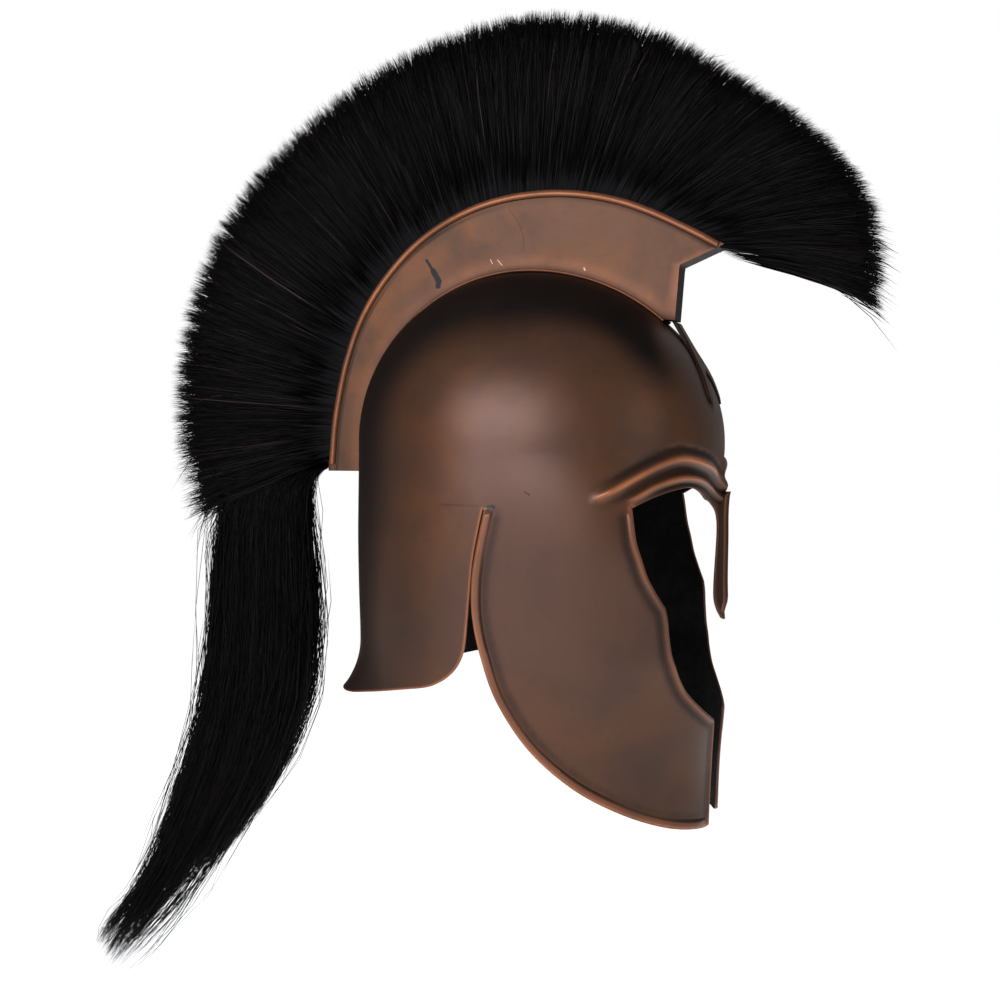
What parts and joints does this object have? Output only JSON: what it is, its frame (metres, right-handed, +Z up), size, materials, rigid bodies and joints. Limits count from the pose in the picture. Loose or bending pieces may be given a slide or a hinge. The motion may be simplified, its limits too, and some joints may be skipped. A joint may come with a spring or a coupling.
{
  "type": "greek crested helmet",
  "caption": "Bronze helmet with open face, nasal bar, brow ridges, rolled cheek guards and flared neck guard, under a braced crest holder with a horsehair brush and a hanging tail.",
  "frame": {"origin": "inside of the crown, where the helmet sits on the head", "axes": "+Z up, the face looks along -Y, the wearer's right is -X"},
  "size_m": [0.2126, 0.5353, 0.6405],
  "materials": {
    "bronze_sheet": "antiqued brown bronze, semi-gloss, with copper-bright edges and a matt black inside",
    "holder_bronze": "antiqued brown bronze, satin, with copper-bright rims",
    "horsehair": "black natural horsehair, slightly glossy"
  },
  "bodies": {
    "root": {"helmet_shell": "bronze_sheet", "crest_holder": "holder_bronze", "front_fork": "holder_bronze", "horsehair_brush": "horsehair", "horsehair_tail": "horsehair"}
  },
  "joints": []
}
